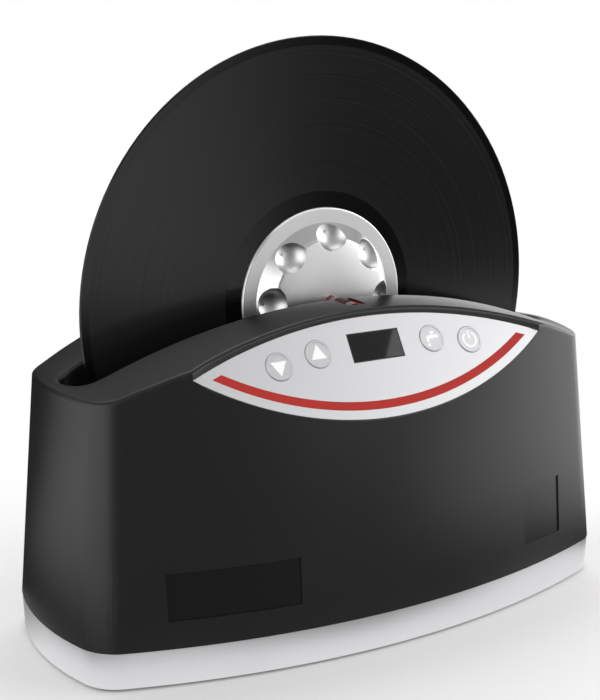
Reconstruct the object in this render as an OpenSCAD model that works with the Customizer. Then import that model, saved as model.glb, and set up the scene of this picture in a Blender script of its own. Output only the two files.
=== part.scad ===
// Record cleaning machine: an ultrasonic bath in a slotted housing, with a record clamped on an axle.
// Frame: +Z up, front towards -Y, origin on the ground under the middle of the body.

/* [Record] */
// Diameter of the record
record_d = 301.6; // [296:0.2:303]
// Thickness of the record
record_t = 1.9; // [1.6:0.1:2.4]
// Diameter of the record's centre hole
record_hole_d = 7.24; // [7.1:0.02:7.4]
// Width of the smooth lead-in ring at the record's edge
lead_in_w = 4.8; // [3:0.2:7]
// Radius where the grooves end and the smooth run-out begins
run_out_r = 62.9; // [57:0.1:66]
// Depth of the grooved area below the label's face
groove_depth = 0.15; // [0.1:0.05:0.3]

/* [Body] */
// Width of the rim between the slot's end and the body's foot
end_rim = 18.6; // [17:0.1:22]
// Free space between the drive motor and the rear wall
drive_room = 4.17; // [1:0.01:12]
// How far the front and the back swell out between the corners
front_bow = 32.5; // [28:0.5:36]
// How far the two ends swell out between the corners
side_bow = 10.5; // [9:0.5:12]
// Radius of the upright corners
corner_r = 25.6; // [22:0.2:28]
// Lean of the walls, in mm inwards for each mm of height
draft = 0.072; // [0.066:0.002:0.076]
// Height of the arch's crest above the axle
crest_rise = 3.3; // [2.8:0.1:4.5]
// Drop of the flat rim at both ends below the crest
end_drop = 32.8; // [30:0.2:35]
// Radius of the arch along the rim
arch_r = 390; // [370:5:405]
// Radius of the blend from the arch to the flat ends
arch_blend_r = 38; // [30:1:44]
// Radius of the rounded outer rim
rim_r = 2.6; // [2.2:0.1:3]
// Fall of the top from the slot out to the rim, in mm for each mm outwards
top_fall = 0.05; // [0.04:0.005:0.06]
// Thickness of the moulded wall
wall = 3; // [2.6:0.1:3.4]

/* [Slot] */
// Gap between the record's edge and each end of the slot
slot_gap = 11.2; // [8:0.1:14]
// Width of the slot
slot_w = 40; // [38:0.5:42]
// How much narrower each half of the slot is where its round ends begin
slot_taper = 2.6; // [2:0.1:3.2]
// Radius of the slot's rounded edge
lip_r = 3.2; // [2.6:0.1:3.6]
// Depth of the slot's collar below the flat rim
collar_depth = 18; // [15:0.5:24]

/* [Base] */
// Height that the feet lift the body
foot_h = 2; // [1.6:0.1:3]
// Height of the metal band
band_h = 20.6; // [18:0.2:24]
// Thickness of the metal band
band_t = 2.5; // [2:0.1:3]
// Lean of the band, in mm inwards for each mm down
band_lean = 0.035; // [0:0.005:0.05]
// Thickness of the bottom plate
plate_t = 3; // [2.5:0.1:4]
// Radius of a foot
foot_r = 9; // [7:0.5:11]
// Distance of the feet inwards from the centre of the slot's round end
foot_in = 10; // [4:0.5:40]
// Distance of the feet inwards from the body's widest front and rear lines
foot_back = 54.1; // [46:0.1:66]
// Radius of the screw bosses inside the housing
boss_r = 5; // [4.5:0.1:5.6]
// Radius of the M3 screws
screw_r = 1.45; // [1.4:0.01:1.5]

/* [Control panel] */
// Lean of the control panel back from upright, in degrees
panel_lean = 31.26; // [30:0.05:32.5]
// Step from the panel's top edge up to the arch's crest
panel_step = 4.9; // [4.7:0.1:6]
// Step from the panel's pointed ends up to the arch
tip_step = 6.9; // [6.4:0.1:8]
// Land between the panel's lowest edge and the crease in the front wall
crease_land = 1; // [0.6:0.1:4]
// Distance of the panel's pointed ends from the middle
panel_tip_x = 115.2; // [112:0.2:116]
// Top of the panel above the datum line
panel_rise = 19.6; // [18:0.1:20]
// Bottom of the panel below the datum line
panel_drop = 39.6; // [38:0.1:39.8]
// Thickness of the panel
panel_t = 2; // [1.6:0.1:2.4]
// Housing wall behind the panel
panel_wall = 2.5; // [2:0.1:3]
// Width of the red stripe
stripe_w = 4.8; // [3:0.1:6]
// Distance of the stripe from the panel's edges
stripe_inset = 5.2; // [4:0.1:7]
// Depth of the stripe's groove
stripe_t = 0.8; // [0.5:0.1:1]
// Width of the display window
display_w = 34.3; // [30:0.1:38]
// Height of the display window
display_h = 17.1; // [14:0.1:18]
// Middle of the display above the datum line
display_v = 2; // [0:0.1:4]
// Diameter of a button
button_d = 16; // [14:0.1:17]
// Distance of the inner buttons from the middle
button_in_x = 38; // [36:0.5:40]
// Distance of the outer buttons from the middle
button_out_x = 63.6; // [61:0.1:66]
// Height of the inner buttons above the datum line
button_in_v = 1.45; // [0:0.05:3]
// Height of the outer buttons above the datum line
button_out_v = -2.4; // [-4:0.1:-1]
// How far a button stands proud of the panel
button_proud = 0.6; // [0.4:0.1:1]
// Travel of a button
button_travel = 0.8; // [0.5:0.1:1]

/* [Axle and clamp] */
// Diameter of the axle
axle_d = 6; // [5:0.1:6.8]
// How far the axle's ends reach past the slot's walls
axle_past = 18; // [17:0.2:20]
// Outer radius of a clamp half
clamp_r = 53.5; // [51:0.1:55]
// Thickness of a clamp half's flange
clamp_flange_t = 2.8; // [2.2:0.1:3.4]
// Radius of the foot of the clamp's raised knob
knob_foot_r = 45; // [43:0.1:46]
// Radius of the knob's flat face
knob_face_r = 36; // [34:0.1:37]
// Height of the knob above the record's face
knob_h = 12; // [10:0.1:14]
// Number of finger dimples
dimple_n = 8; // [6:1:9]
// Radius of the ball that forms a dimple
dimple_ball_r = 11; // [9:0.1:12]
// Distance of the dimples from the axle
dimple_at_r = 40; // [38:0.1:42]
// Turn of the first dimple, in degrees
dimple_phase = 43; // [0:1:44]
// Radius of the hub in front of the knob
hub_r = 4.6; // [4.2:0.1:6]
// Thickness of the rubber pads that grip the record
pad_t = 0.8; // [0.5:0.1:1.2]
// Radius of the axle sleeves
sleeve_r = 3.7; // [3.6:0.05:4.2]
// Length of the axle sleeves
sleeve_len = 9.4; // [8:0.1:10]
// Running clearance of a shaft in its bore, on the radius
running_gap = 0.05; // [0.03:0.01:0.08]

/* [Bath] */
// Thickness of the bath's steel
tank_t = 1.5; // [1:0.1:1.8]
// Height of the bath's inner floor
tank_floor_z = 28; // [27:0.5:31]
// Gap between the record's lowest point and the bath's floor
floor_gap = 6.9; // [4:0.1:12]
// Radius of the bath's lower corners
tank_corner_r = 90; // [70:1:100]
// Width of the bath's rim flange
tank_flange_w = 4; // [3:0.1:4.2]
// Thickness of the rubber seal
seal_t = 1.5; // [1:0.1:2]
// Radius of a transducer's face
transducer_r = 20; // [16:0.5:22]
// Distance of the transducers from the middle
transducer_x = 62; // [56:1:70]
// Height of the transducers
transducer_z = 72; // [66:1:80]

/* [Drive] */
// Radius of the rubber drive roller
roller_r = 9; // [8:0.1:9.4]
// Width of the drive roller
roller_w = 5; // [4:0.1:5.4]
// Gap between the drive roller and the axle at rest
roller_gap = 0.3; // [0.2:0.05:0.5]
// Module of the gear teeth
gear_m = 1; // [0.9:0.02:1.06]
// Teeth on the roller's gear
gear_teeth = 18; // [16:1:18]
// Teeth on the motor's pinion
pinion_teeth = 14; // [13:1:16]
// Width of the gears
gear_w = 5; // [4:0.1:6]
// Radius of the motor
motor_r = 17; // [15:0.5:18]
// Length of the motor
motor_len = 20; // [17:0.5:21]

/* [Hidden] */
$fn = 64;

// Clearances
fit = 0.2;
slip = 0.02;
overlap = 1;
seam_gap = 0.2;

// Levels
seam_z = foot_h + band_h;
plate_top = foot_h + plate_t;
foot_sink = plate_t / 2;
axle_z = tank_floor_z + floor_gap + record_d / 2;
crest_z = axle_z + crest_rise;
end_z = crest_z - end_drop;
collar_z = end_z - collar_depth;
above = crest_z + 40;

// Plan
slot_len = record_d + 2 * slot_gap;
slot_r = slot_w / 2;
slot_x = slot_len / 2 - slot_r;
body_len = slot_len + 2 * end_rim;
record_half = record_t / 2;
knob_y = record_half + knob_h;
hub_len = 3;
hub_y = knob_y + hub_len;

// Axle seats
axle_reach = slot_r + axle_past;
saddle_half = sleeve_r + 2.3;
saddle_low = axle_z - sleeve_r - 3;
saddle_top = crest_z - 1.4;
saddle_from = slot_r + fit;
saddle_front_to = axle_reach + 2;
sleeve_from = slot_r + 1.5;
sleeve_to = sleeve_from + sleeve_len;
saddle_rear_to = sleeve_to + fit;
saddle_end_t = 1.5;
collar_r = (axle_d / 2 + sleeve_r) / 2;
block_wall = 3;

// Drive
roller_z = axle_z - axle_d / 2 - roller_gap - roller_r;
roller_from = axle_reach - roller_w;
roller_core_r = roller_r - 3;
gear_r = gear_m * gear_teeth / 2;
pinion_r = gear_m * pinion_teeth / 2;
pressure_angle = 25;
tooth_thin = 0.14;
flank_steps = 4;
motor_z = roller_z - gear_r - pinion_r;
shaft_r = 2;
bracket_t = 2;
bracket_from = axle_reach + 2;
bracket_gap = gear_w + 3;
bracket_to = bracket_from + 2 * bracket_t + bracket_gap;
bracket_half = motor_r + 9;
bracket_top = crest_z - 9;
bracket_low = motor_z - motor_r - 4;
gear_from = bracket_from + bracket_t + 1.5;
gear_room = 0.6;
pinion_window_r = pinion_r + 3;
lug_r = 4.5;
lug_x = bracket_half + lug_r;
lug_y = (bracket_from + bracket_to) / 2;
motor_boss_r = 6;
motor_screw_x = motor_boss_r + 6;
motor_bore_len = 5;
drive_screw_len = 5;
motor_top_z = motor_z + motor_r;
body_depth = 2 * (bracket_to + motor_len + drive_room + wall + draft * (motor_top_z - seam_z));

// Arch
arch_c = crest_z - arch_r;
blend_c = end_z + arch_blend_r;
blend_x = sqrt(pow(arch_r + arch_blend_r, 2) - pow(blend_c - arch_c, 2));
blend_from = blend_x * arch_r / (arch_r + arch_blend_r);

// Panel
facet_land = 0.4;
panel_z = crest_z - panel_step - cos(panel_lean) * (panel_rise + facet_land);
crease_v = panel_drop + crease_land;
crease_at_z = panel_z - cos(panel_lean) * crease_v;
panel_y = front_y(0, crease_at_z) + sin(panel_lean) * crease_v;
panel_tip_v = (arch_z(panel_tip_x) - tip_step - panel_z) / cos(panel_lean) - facet_land;
lens_sag = panel_rise - panel_tip_v;
lens_top_r = (pow(panel_tip_x, 2) + pow(lens_sag, 2)) / (2 * lens_sag);
lens_dip = panel_drop + panel_tip_v;
lens_low_r = (pow(panel_tip_x, 2) + pow(lens_dip, 2)) / (2 * lens_dip);
lens_low_v = lens_low_r - panel_drop;
facet_wall = panel_t + panel_wall;
button_r = button_d / 2;
button_flange_r = button_r + 1;
button_flange_t = 1.2;
button_edge = 0.4;
button_rim_w = 0.7;
button_dish = 0.25;
stem_r = 3;
stem_len = 2.9;
stem_end = -panel_t - button_flange_t - stem_len;
switch_gap = 0.1;
switch_top = stem_end - button_travel - switch_gap;
switch_body_h = 3.5;
switch_body_w = 6;
switch_pin_r = 1.75;
switch_pin_h = 1.5;
board_top = switch_top - switch_pin_h - switch_body_h;
board_t = 1.6;
keypad_w = 2 * (button_out_x + button_r) + 12.8;
keypad_low = button_out_v - button_r - 2.6;
keypad_high = button_in_v + button_r + 1.6;
keypad_post_x = (button_in_x + button_out_x) / 2;
keypad_post_r = 3;
keypad_post_v = keypad_low + keypad_post_r + 1;
window_t = 1.6;
window_gap = 0.1;
panel_bore = 10;
button_at = [
    [-button_out_x, button_out_v], [-button_in_x, button_in_v],
    [button_in_x, button_in_v], [button_out_x, button_out_v]
];

// Bath
ledge_h = 5;
ledge_lap = 1.5;
ledge_w = 5.6;
tank_r = slot_r + 1;
tank_out_r = tank_r + tank_t;
flange_r = tank_out_r + tank_flange_w;
seal_z = collar_z - seal_t;
flange_z = seal_z - tank_t;
ear_r = 5;
ear_x = slot_x - 22;
ear_y = flange_r + 1;
tank_screw_len = 6;
screw_hole_r = screw_r + 0.25;
screw_head_r = 2.8;
screw_head_h = 1.8;

// Rear ports
port_x = slot_x - 42;
port_r = 10;
port_z = seam_z + port_r + 1.4;
port_face = -front_y(port_x + port_r, port_z);
port_boss_t = 4.5;
spigot_r = 4.5;
spigot_bore_r = 3;
spigot_to = port_face + 13;
spigot_flange_t = 1.5;
pump_r = 14;
pump_z = plate_top + pump_r + 3;
pump_len = 28;
pump_to = port_face - 14;
pump_from = pump_to - pump_len;
pump_foot = 9;
tube_r = 4;
tube_bore_r = 2.8;
tube_bend_r = 6;
tube_z = tank_floor_z - tank_t - tube_bend_r - 2;
jack_r = 5.5;
jack_bore_r = 2.9;
jack_pin_r = 1;
jack_len = 14;
jack_depth = 9;

// Bottom plate
foot_x = slot_x - foot_in;
foot_y = body_depth / 2 - foot_back;
boss_h = 40;
boss_bore = 15;
boss_inset = band_t + seam_gap + band_lean * band_h + fit + boss_r;
boss_x = slot_x - 14;
base_screw_len = 12;
vent_n = 9;
vent_pitch = 9;
vent_w = 3;
vent_len = 30;
vent_x = -60;
post_r = 3;

// Ultrasonic generator
generator_w = 114;
generator_d = 28;
generator_z = plate_top + 5;
generator_x = [8 - slot_x, 8 - slot_x + generator_w];
generator_y = [body_depth / 2 - 60.1, body_depth / 2 - 60.1 + generator_d];
transformer = [26, 18, 22];
transformer_in = [16, 6];
choke_r = 10;
choke_bore_r = 4.5;
choke_h = 9;
choke_x = 56;
can_r = 4.5;
can_h = 20;
can_x = [74, 86];
can_in = 8;
sink = [12.3, 20, 3];
sink_in = [92, 4];
fin_n = 6;
fin_t = 1.2;
fin_h = 22;

// Transducers: bell, waist, ring stack and tail nut
bell_t = 3;
waist_r = 0.76 * transducer_r;
waist_y = 15;
stack_r = 0.7 * transducer_r;
stack_from = 26;
stack_to = 38;
tail_r = 4.5;
tail_to = 41;

// Ring of upright stations round the body: x = 0 to the panel's tip, to the slot's straight end, then the corner
rib_n = 14;
tip_n = 4;
shoulder_n = 2;
corner_n = 8;
side_n = 5;
turn_n = shoulder_n + corner_n + side_n;
quarter = [
    for (i = [0 : rib_n - 1]) [0, panel_tip_x * i / rib_n, 0],
    for (i = [0 : tip_n]) [0, panel_tip_x + (slot_x - panel_tip_x) * i / tip_n, 0],
    for (i = [1 : shoulder_n]) [1, i / shoulder_n, i / turn_n],
    for (i = [1 : corner_n]) [2, i / corner_n, (shoulder_n + i) / turn_n],
    for (i = [1 : side_n]) [3, i / side_n, (shoulder_n + corner_n + i) / turn_n]
];
nq = len(quarter) - 1;
ring_n = 4 * nq;
// Each ring entry: station, sign of x, sign of y
ring = [
    for (i = [0 : nq]) [quarter[i], 1, 1],
    for (i = [nq - 1 : -1 : 0]) [quarter[i], 1, -1],
    for (i = [1 : nq]) [quarter[i], -1, -1],
    for (i = [nq - 1 : -1 : 1]) [quarter[i], -1, 1]
];

// Plan outline at a height: half lengths, and the arcs of the front, the end and the corner between them
function half_len(z) = body_len / 2 - draft * (z - seam_z);
function half_dep(z) = body_depth / 2 - draft * (z - seam_z);
function arc_r(chord, bow) = (chord * chord + bow * bow) / (2 * bow);
function front_r(z) = arc_r(half_len(z) - side_bow, front_bow);
function side_r(z) = arc_r(half_dep(z) - front_bow, side_bow);
function front_c(z) = [0, front_r(z) - half_dep(z)];
function side_c(z) = [half_len(z) - side_r(z), 0];
function corner_c(z) =
    let (f = front_c(z), s = side_c(z), rf = front_r(z) - corner_r, rs = side_r(z) - corner_r)
    let (d = norm(s - f), u = (s - f) / d, k = (rf * rf - rs * rs + d * d) / (2 * d))
    f + k * u + sqrt(rf * rf - k * k) * [-u[1], u[0]];
function front_turn(z) = let (v = corner_c(z) - front_c(z)) atan2(v[0], -v[1]);
function side_turn(z) = let (v = corner_c(z) - side_c(z)) atan2(v[0], -v[1]);
function front_y(x, z, inset = 0) = front_c(z)[1] - sqrt(pow(front_r(z) - inset, 2) - x * x);
function arc_pt(c, r, a) = c + r * [sin(a), -cos(a)];

// Point of the wall at a station, a height and an inset
function wall_pt(s, z, inset) =
    s[0] == 0 ? [s[1], front_y(s[1], z, inset)]
    : s[0] == 1 ? let (from = asin(slot_x / (front_r(z) - inset)))
        arc_pt(front_c(z), front_r(z) - inset, from + s[1] * (front_turn(z) - from))
    : s[0] == 2 ? arc_pt(corner_c(z), corner_r - inset, front_turn(z) + s[1] * (side_turn(z) - front_turn(z)))
    : arc_pt(side_c(z), side_r(z) - inset, side_turn(z) + s[1] * (90 - side_turn(z)));

// Point of the slot's outline, or of one offset from it: bowed long sides and oval ends
function slot_pt(s, r) =
    s[0] == 0 ? [s[1], slot_taper * pow(s[1] / slot_x, 2) - r]
    : [slot_x + r * sin(90 * s[2]), (slot_taper - r) * cos(90 * s[2])];

// Height of the top at x: an arch, a hollow blend and a flat end
function arch_z(x) =
    abs(x) < blend_from ? arch_c + sqrt(arch_r * arch_r - x * x)
    : abs(x) < blend_x ? blend_c - sqrt(pow(arch_blend_r, 2) - pow(blend_x - abs(x), 2))
    : end_z;

// Height of the rim at a station, lower than the arch the farther it is from the slot
function rim_z(s, p) = arch_z(p[0]) - top_fall * norm(p - slot_pt(s, slot_r + lip_r));

// The sloped facet that carries the panel
function facet_y(z) = panel_y + tan(panel_lean) * (z - panel_z);
function facet_top_z(x) =
    panel_z + cos(panel_lean) * (panel_rise + facet_land - lens_top_r + sqrt(pow(lens_top_r, 2) - x * x));
// Height where a wall with this inset meets the facet moved back by a distance along y
function crease_z(x, inset, back, z = 150, n = 8) =
    n == 0 ? z
    : crease_z(x, inset, back,
        z + (front_y(x, z, inset) - facet_y(z) - back) / (tan(panel_lean) - draft), n - 1);

// Column of points at one station: up the wall, over the rim, across the top, over the lip and down the slot
rim_steps = 5;
crown_steps = 3;
lip_steps = 3;
rim_from = atan(draft);
function rim_column(s, base) = [
    for (i = [0 : rim_steps])
        let (a = rim_from + (90 - rim_from) * i / rim_steps)
        let (p = base(rim_r * (sqrt(1 + draft * draft) - cos(a))))
        [p[0], p[1], rim_z(s, p) - rim_r * (1 - sin(a))]
];
// Points between the rim and the lip, on a curve that is level at the lip
function crown_column(rim, lip) = [
    for (i = [1 : crown_steps - 1])
        let (t = i / crown_steps, p = rim + t * (lip - rim))
        [p[0], p[1], arch_z(p[0]) - (arch_z(rim[0]) - rim[2]) * pow(1 - t, 2)]
];
function shell_column(s, faceted) =
    let (x = s[1], on_facet = faceted && s[0] == 0 && s[1] < panel_tip_x)
    let (z_rim = rim_z(s, wall_pt(s, end_z, 0)) - rim_r)
    let (z_low = on_facet ? crease_z(x, 0, 0) : z_rim - 2.5)
    let (z_high = on_facet ? facet_top_z(x) : z_rim - 0.8)
    let (p0 = wall_pt(s, seam_z, 0), p1 = wall_pt(s, z_low, 0))
    let (p2 = on_facet ? [x, facet_y(z_high)] : wall_pt(s, z_high, 0))
    let (rim = rim_column(
        s,
        function (d) on_facet
            ? [x, facet_y(z_high) + draft * (z_rim - z_high) + d]
            : s[0] == 0 ? [x, wall_pt(s, z_rim, 0)[1] + d] : wall_pt(s, z_rim, d)))
    let (lip = [
        for (i = [0 : lip_steps])
            let (a = 90 - 90 * i / lip_steps, p = slot_pt(s, slot_r + lip_r * (1 - cos(a))))
            [p[0], p[1], arch_z(p[0]) - lip_r * (1 - sin(a))]
    ])
    concat(
        [[p0[0], p0[1], seam_z], [p1[0], p1[1], z_low], [p2[0], p2[1], z_high]],
        rim,
        crown_column(rim[rim_steps], lip[0]),
        lip,
        [let (p = slot_pt(s, slot_r)) [p[0], p[1], seam_z]]
    );
// Column of points of the room inside the housing
function room_column(s, faceted) =
    let (back = facet_wall / cos(panel_lean), p0 = wall_pt(s, seam_z, wall))
    let (z_top = rim_z(s, wall_pt(s, end_z, wall)) - wall)
    let (z_low = faceted && s[0] == 0 ? min(crease_z(s[1], wall, back), z_top - 1) : z_top - 1)
    let (p1 = wall_pt(s, z_low, wall), p2 = wall_pt(s, z_top, wall))
    let (y2 = faceted && s[0] == 0 ? max(p2[1], facet_y(z_top) + back) : p2[1])
    [
        [p0[0], p0[1], seam_z - overlap],
        [p1[0], p1[1], z_low],
        [p2[0], y2, z_top]
    ];
function flip(points, sx, sy) = [for (p = points) [sx * p[0], sy * p[1], p[2]]];
function ring_faces(k) = [
    for (i = [0 : ring_n - 1], j = [0 : k - 1])
        let (a = i * k + j, b = i * k + (j + 1) % k)
        let (c = ((i + 1) % ring_n) * k + (j + 1) % k, d = ((i + 1) % ring_n) * k + j)
        each [[a, b, c], [a, c, d]]
];

// A closed band of columns, as a tube bent round the body
module ring_solid(columns) {
    k = len(columns[0]);
    polyhedron([for (c = columns) each c], ring_faces(k), convexity = 10);
}

// A solid between columns, closed below by one face and above by strips that run across the body
module lidded_solid(columns) {
    k = len(columns[0]);
    walls = [
        for (i = [0 : ring_n - 1], j = [0 : k - 2])
            let (a = i * k + j, b = a + 1, d = ((i + 1) % ring_n) * k + j, c = d + 1)
            each [[a, b, c], [a, c, d]]
    ];
    top = function (i) ((i + ring_n) % ring_n) * k + k - 1;
    right = [
        for (i = [0 : nq - 1])
            let (f = top(i), g = top(i + 1), b = top(2 * nq - i), h = top(2 * nq - i - 1))
            each (g == h ? [[f, b, g]] : [[f, b, h], [f, h, g]])
    ];
    left = [
        for (i = [0 : nq - 1])
            let (f = top(-i), g = top(-i - 1), b = top(2 * nq + i), h = top(2 * nq + i + 1))
            each (g == h ? [[f, g, b]] : [[f, h, b], [f, g, h]])
    ];
    low = [[for (i = [0 : ring_n - 1]) i * k]];
    polyhedron([for (c = columns) each c], concat(walls, right, left, low), convexity = 10);
}

module stadium(r) {
    square([2 * slot_x, 2 * r], center = true);
    for (s = [-1, 1])
        translate([s * slot_x, 0])
            circle(r);
}

// Local frame of the panel: x along it, y up the slope, z out of it
module on_panel() {
    translate([0, panel_y, panel_z])
        rotate([90 - panel_lean, 0, 0])
            children();
}

// A cylinder along +Y
module rod_y(r, y0, y1, x = 0, z = 0) {
    translate([x, y0, z])
        rotate([-90, 0, 0])
            cylinder(h = y1 - y0, r = r);
}

module box(x0, x1, y0, y1, z0, z1) {
    translate([x0, y0, z0])
        cube([x1 - x0, y1 - y0, z1 - z0]);
}

module lens(inset = 0) {
    intersection() {
        translate([0, panel_rise - lens_top_r])
            circle(lens_top_r - inset, $fn = 360);
        translate([0, lens_low_v])
            circle(lens_low_r - inset, $fn = 360);
    }
}

module stripe_shape(gap) {
    difference() {
        lens(stripe_inset - gap);
        translate([0, lens_low_v])
            circle(lens_low_r - stripe_inset - stripe_w - gap, $fn = 360);
    }
}

// Places of the screw bosses: on the middle of the front and back, and towards the four corners
boss_at = [
    for (x = [-boss_x, 0, boss_x], s = [-1, 1])
        [x, -s * front_y(x, seam_z, boss_inset)]
];

module housing_shell() {
    color([0.16, 0.16, 0.17])
        difference() {
            union() {
                difference() {
                    ring_solid([for (r = ring) flip(shell_column(r[0], r[2] > 0), r[1], r[2])]);
                    difference() {
                        lidded_solid([for (r = ring) flip(room_column(r[0], r[2] > 0), r[1], r[2])]);
                        translate([0, 0, collar_z + overlap])
                            linear_extrude(above)
                                stadium(slot_r + wall);
                    }
                }
                housing_ledge();
                housing_bosses();
                housing_seats();
            }
            housing_cuts();
        }
}

// Ledge under the slot's collar, with ears for the bath's screws
module housing_ledge() {
    translate([0, 0, collar_z])
        linear_extrude(ledge_h)
            difference() {
                union() {
                    stadium(slot_r + ledge_lap + ledge_w);
                    tank_ears();
                }
                stadium(slot_r + ledge_lap);
            }
}

module tank_ears() {
    for (x = [-ear_x, 0, ear_x], s = [-1, 1])
        translate([x, s * ear_y])
            circle(ear_r);
}

module at_ears() {
    for (x = [-ear_x, 0, ear_x], s = [-1, 1])
        translate([x, s * ear_y, 0])
            children();
}

module housing_bosses() {
    for (p = boss_at)
        translate([p[0], p[1], plate_top])
            cylinder(h = boss_h, r = boss_r);
    for (s = [-1, 1])
        translate([s * lug_x, lug_y, bracket_top])
            cylinder(h = arch_z(lug_x) - bracket_top - 1.5, r = lug_r - 0.5);
    for (s = [-1, 1], x = [-port_x, port_x])
        rod_y(port_r + 2, port_face - port_boss_t, port_face, x, port_z);
    on_panel()
        for (s = [-1, 1])
            translate([s * keypad_post_x, keypad_post_v, board_top])
                cylinder(h = -panel_t - 1 - board_top, r = keypad_post_r);
}

// Solid blocks under the rim that hold the two axle saddles
module housing_seats() {
    w = saddle_half + block_wall;
    box(-w, w, -saddle_front_to - block_wall, -slot_r - ledge_lap, saddle_low - block_wall, crest_z - wall / 2);
    box(-w, w, slot_r + ledge_lap, saddle_rear_to + fit, saddle_low - block_wall, crest_z - wall / 2);
}

module housing_cuts() {
    // pockets for the saddles, open to the slot and to the top
    w = saddle_half + fit / 2;
    box(-w, w, -saddle_front_to - fit, -slot_r + overlap, saddle_low - fit / 2, above);
    box(-w, w, slot_r - overlap, saddle_rear_to + overlap, saddle_low - fit / 2, above);
    // the way out for the axle's driven end
    box(-sleeve_r - fit, sleeve_r + fit, slot_r, axle_reach + 1, roller_z + roller_r, above);
    // room under the top for the teeth of the roller's gear
    rod_y(gear_r + gear_m + gear_room, gear_from - gear_room, gear_from + gear_w + gear_room, 0, roller_z);
    // panel pocket, display window and button holes
    on_panel() {
        translate([0, 0, -panel_t])
            linear_extrude(2 * panel_bore)
                lens(-fit / 2);
        translate([0, display_v, -panel_bore])
            linear_extrude(2 * panel_bore)
                square([display_w + 1.6, display_h + 1.6], center = true);
        for (p = button_at)
            translate([p[0], p[1], -panel_bore])
                cylinder(h = 2 * panel_bore, r = button_flange_r + 0.5);
        for (s = [-1, 1])
            translate([s * keypad_post_x, keypad_post_v, board_top - overlap])
                cylinder(h = 6, r = screw_r + slip);
    }
    // flat seats and holes for the rear ports
    for (x = [-port_x, port_x])
        rod_y(port_r, port_face, port_face + 20, x, port_z);
    rod_y(spigot_r + fit, port_face - 20, port_face + overlap, port_x, port_z);
    rod_y(jack_r + fit, port_face - 20, port_face + overlap, -port_x, port_z);
    // screw holes
    for (p = boss_at)
        translate([p[0], p[1], plate_top - overlap])
            cylinder(h = boss_bore + overlap, r = screw_r + slip);
    at_ears()
        translate([0, 0, collar_z - overlap])
            cylinder(h = ledge_h - 0.5, r = screw_r + slip);
    for (s = [-1, 1])
        translate([s * lug_x, lug_y, bracket_top - overlap])
            cylinder(h = 5, r = screw_r + slip);
}

module base_band() {
    color([0.78, 0.79, 0.8])
        ring_solid([
            for (r = ring)
                let (low = seam_gap + band_lean * band_h)
                let (a = wall_pt(r[0], seam_z, low), b = wall_pt(r[0], seam_z, seam_gap))
                let (c = wall_pt(r[0], seam_z, band_t), d = wall_pt(r[0], seam_z, band_t + low))
                flip([
                    [a[0], a[1], foot_h],
                    [b[0], b[1], seam_z],
                    [c[0], c[1], seam_z],
                    [d[0], d[1], foot_h]
                ], r[1], r[2])
        ]);
}

module base_plate() {
    inset = band_t + seam_gap + band_lean * band_h + fit;
    color([0.2, 0.2, 0.21])
        difference() {
            union() {
                translate([0, 0, foot_h])
                    linear_extrude(plate_t)
                        polygon([for (r = ring) let (p = wall_pt(r[0], seam_z, inset)) [r[1] * p[0], r[2] * p[1]]]);
                at_board_posts()
                    cylinder(h = generator_z - foot_h - overlap, r = post_r);
            }
            for (p = boss_at)
                translate([p[0], p[1], foot_h - overlap]) {
                    cylinder(h = plate_t + 2 * overlap, r = screw_hole_r);
                    cylinder(h = overlap + screw_head_h, r = screw_head_r + fit);
                }
            at_feet()
                translate([0, 0, foot_h - overlap])
                    cylinder(h = overlap + foot_sink, r = foot_r + fit);
            vent_slots();
            at_board_posts()
                translate([0, 0, plate_t])
                    cylinder(h = 20, r = screw_r + slip);
        }
}

module vent_slots() {
    for (i = [0 : vent_n - 1])
        translate([vent_x + (i - (vent_n - 1) / 2) * vent_pitch, 0, foot_h - overlap])
            linear_extrude(plate_t + 2 * overlap)
                square([vent_w, vent_len], center = true);
}

module at_feet() {
    for (x = [-foot_x, foot_x], y = [-foot_y, foot_y])
        translate([x, y, 0])
            children();
}

module rubber_feet() {
    color([0.08, 0.08, 0.08])
        at_feet()
            cylinder(h = foot_h + foot_sink, r = foot_r);
}

// A countersunk screw that points up, with its head's underside at z = 0
module screw(length) {
    cylinder(h = length, r = screw_r);
    translate([0, 0, -screw_head_h])
        cylinder(h = screw_head_h, r = screw_head_r);
}

module base_screws() {
    color([0.6, 0.6, 0.62])
        for (p = boss_at)
            translate([p[0], p[1], foot_h + screw_head_h])
                screw(base_screw_len);
}

module control_panel() {
    color([0.82, 0.82, 0.84])
        on_panel()
            difference() {
                translate([0, 0, -panel_t])
                    linear_extrude(panel_t)
                        lens();
                translate([0, 0, -stripe_t])
                    linear_extrude(5)
                        stripe_shape(0.05);
                translate([0, display_v, -panel_bore])
                    linear_extrude(2 * panel_bore)
                        square([display_w, display_h], center = true);
                for (p = button_at)
                    translate([p[0], p[1], -panel_bore])
                        cylinder(h = 2 * panel_bore, r = button_r + fit);
            }
}

module accent_stripe() {
    color([0.68, 0.25, 0.23])
        on_panel()
            translate([0, 0, -stripe_t])
                linear_extrude(stripe_t + 0.05)
                    stripe_shape(0);
}

module display_window() {
    color([0.05, 0.05, 0.06])
        on_panel()
            translate([0, display_v, -window_t])
                linear_extrude(window_t)
                    square([display_w - 2 * window_gap, display_h - 2 * window_gap], center = true);
}

module display_module() {
    color([0.15, 0.17, 0.16])
        on_panel()
            translate([0, display_v, board_top])
                linear_extrude(-window_t - fit - board_top)
                    square([display_w, display_h], center = true);
}

module keypad_board() {
    color([0.1, 0.35, 0.2])
        on_panel()
            difference() {
                translate([-keypad_w / 2, keypad_low, board_top - board_t])
                    cube([keypad_w, keypad_high - keypad_low, board_t]);
                for (s = [-1, 1])
                    translate([s * keypad_post_x, keypad_post_v, board_top - 5])
                        cylinder(h = 10, r = screw_hole_r);
            }
}

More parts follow.
